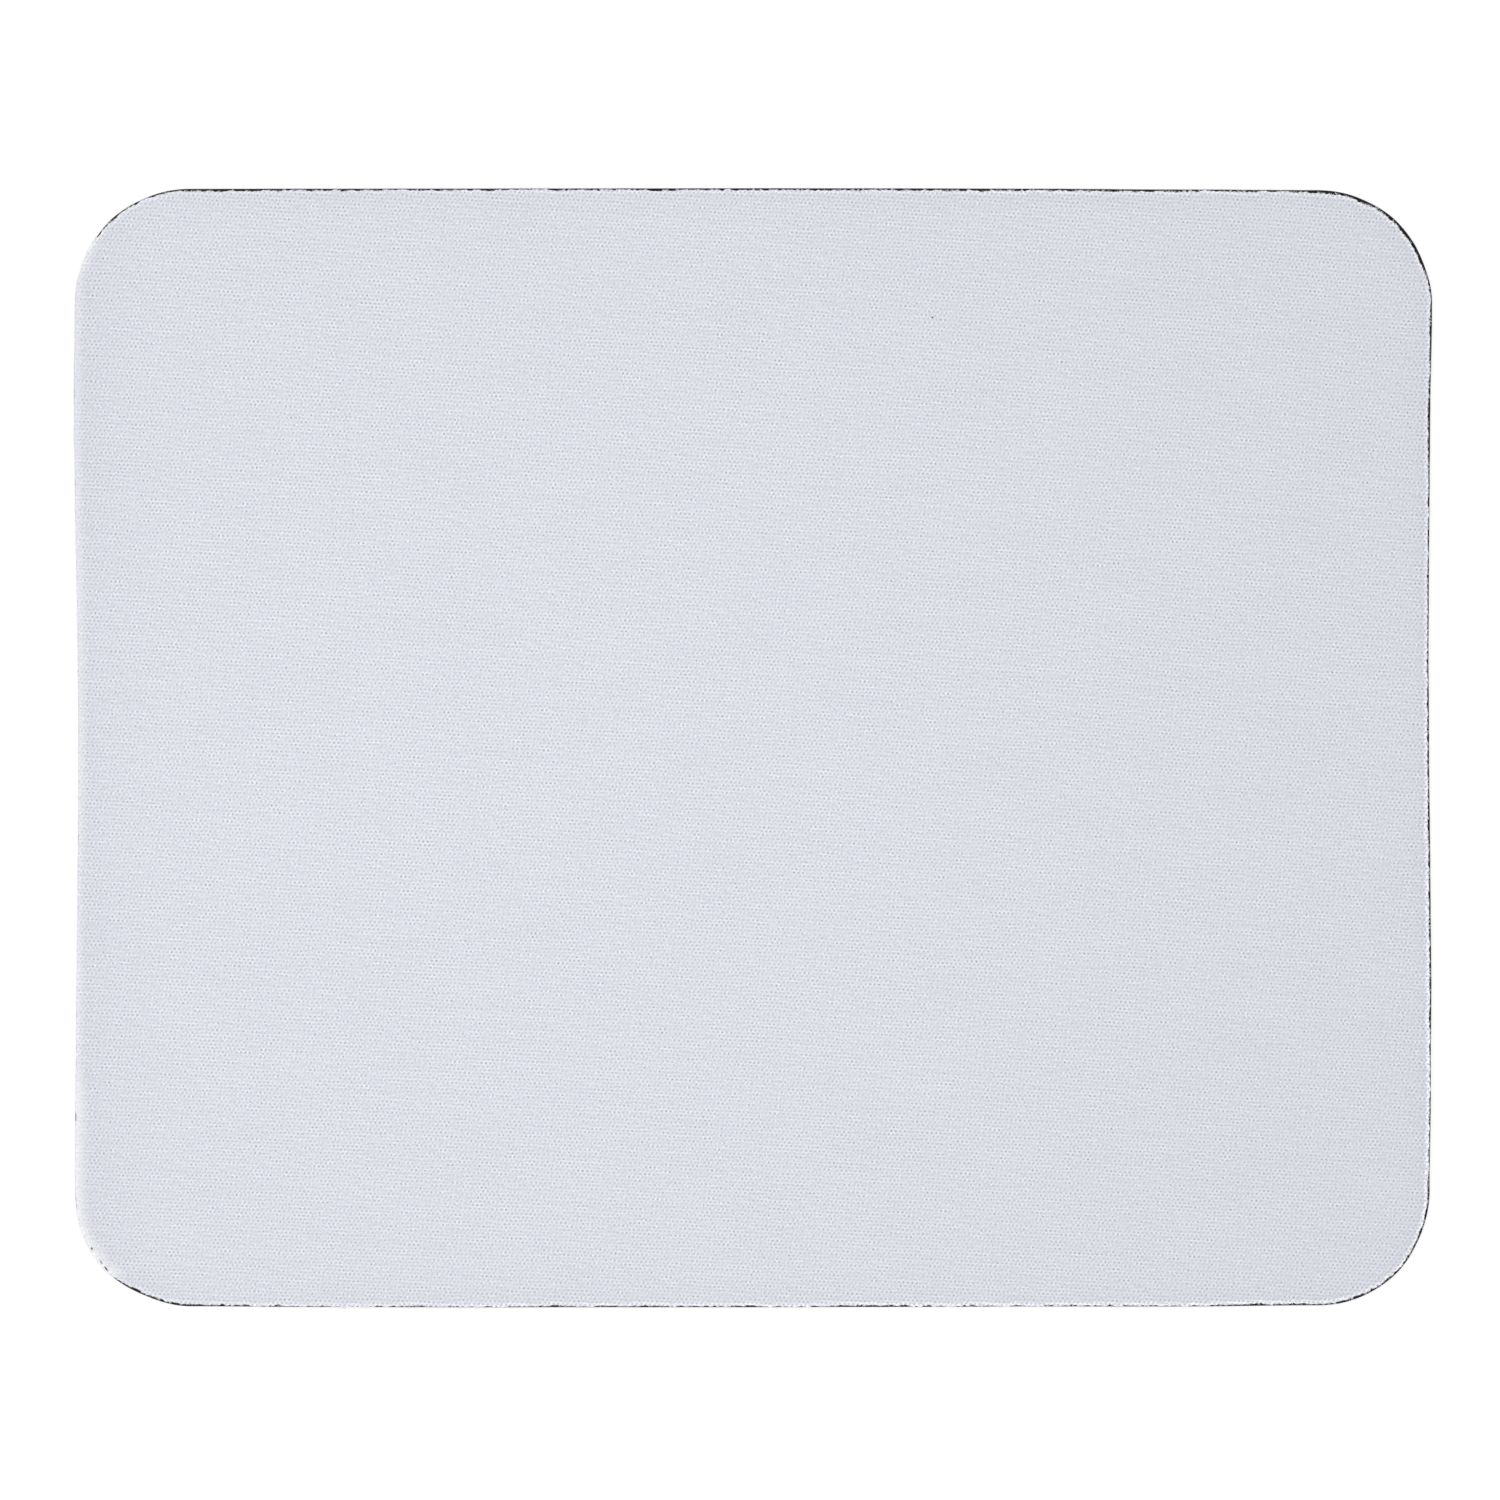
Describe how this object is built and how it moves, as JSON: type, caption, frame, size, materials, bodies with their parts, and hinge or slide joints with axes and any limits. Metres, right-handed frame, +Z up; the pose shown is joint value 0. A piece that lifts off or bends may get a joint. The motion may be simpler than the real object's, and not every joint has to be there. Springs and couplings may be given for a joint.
{
  "type": "mouse pad",
  "caption": "Flat rounded-rectangle mouse pad: plain pale knitted cloth bonded to black foam rubber with a die-cut edge and wavy anti-slip grooves underneath.",
  "frame": {"origin": "under the centre of the pad, on the surface that it lies on", "axes": "+X along the long side, towards the right of the picture; +Y along the short side, towards its top; +Z up through the thickness, out of the cloth"},
  "size_m": [0.23, 0.19, 0.003],
  "materials": {
    "cloth": "matte",
    "film": "satin",
    "foam": "matte"
  },
  "bodies": {
    "root": {"cloth_top": "cloth", "bonding_film": "film", "foam_base": "foam"}
  },
  "joints": []
}
